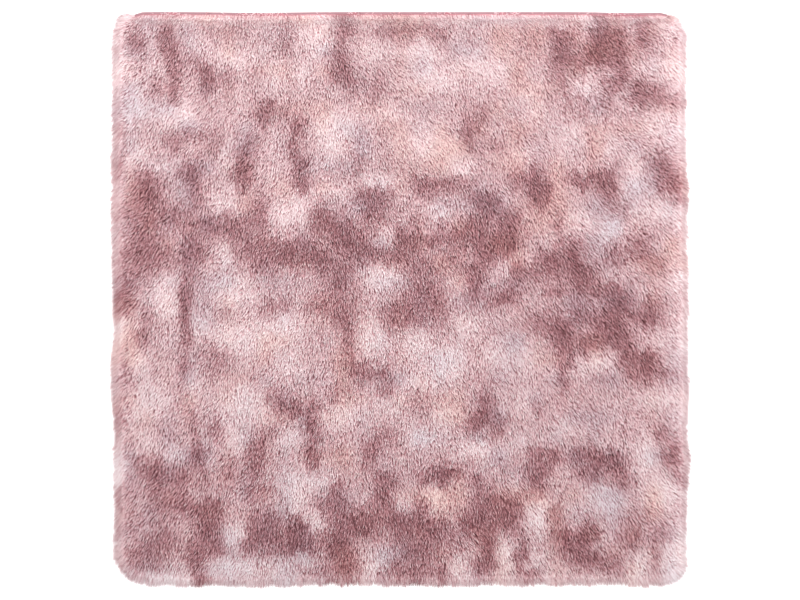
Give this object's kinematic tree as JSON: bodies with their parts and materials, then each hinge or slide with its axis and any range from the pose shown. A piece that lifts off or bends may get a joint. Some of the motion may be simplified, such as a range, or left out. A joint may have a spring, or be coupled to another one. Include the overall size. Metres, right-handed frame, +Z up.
{
  "type": "shag rug",
  "caption": "Square fluffy shag rug laid flat, its combed pile mottled in pinks, with a soft fringe of locks round its rim and a narrow bound edge.",
  "frame": {"origin": "middle of the underside, on the floor", "axes": "+Z up from the floor; +Y towards the head edge, which the pile is combed away from; +X to the right, seen from above with the head edge at the top"},
  "size_m": [1.2, 1.2, 0.0403],
  "materials": {
    "pile": "soft long pile, mottled pink to mauve",
    "binding": "matt woven tape"
  },
  "bodies": {
    "root": {"shag_pile": "pile", "edge_binding": "binding"}
  },
  "joints": []
}
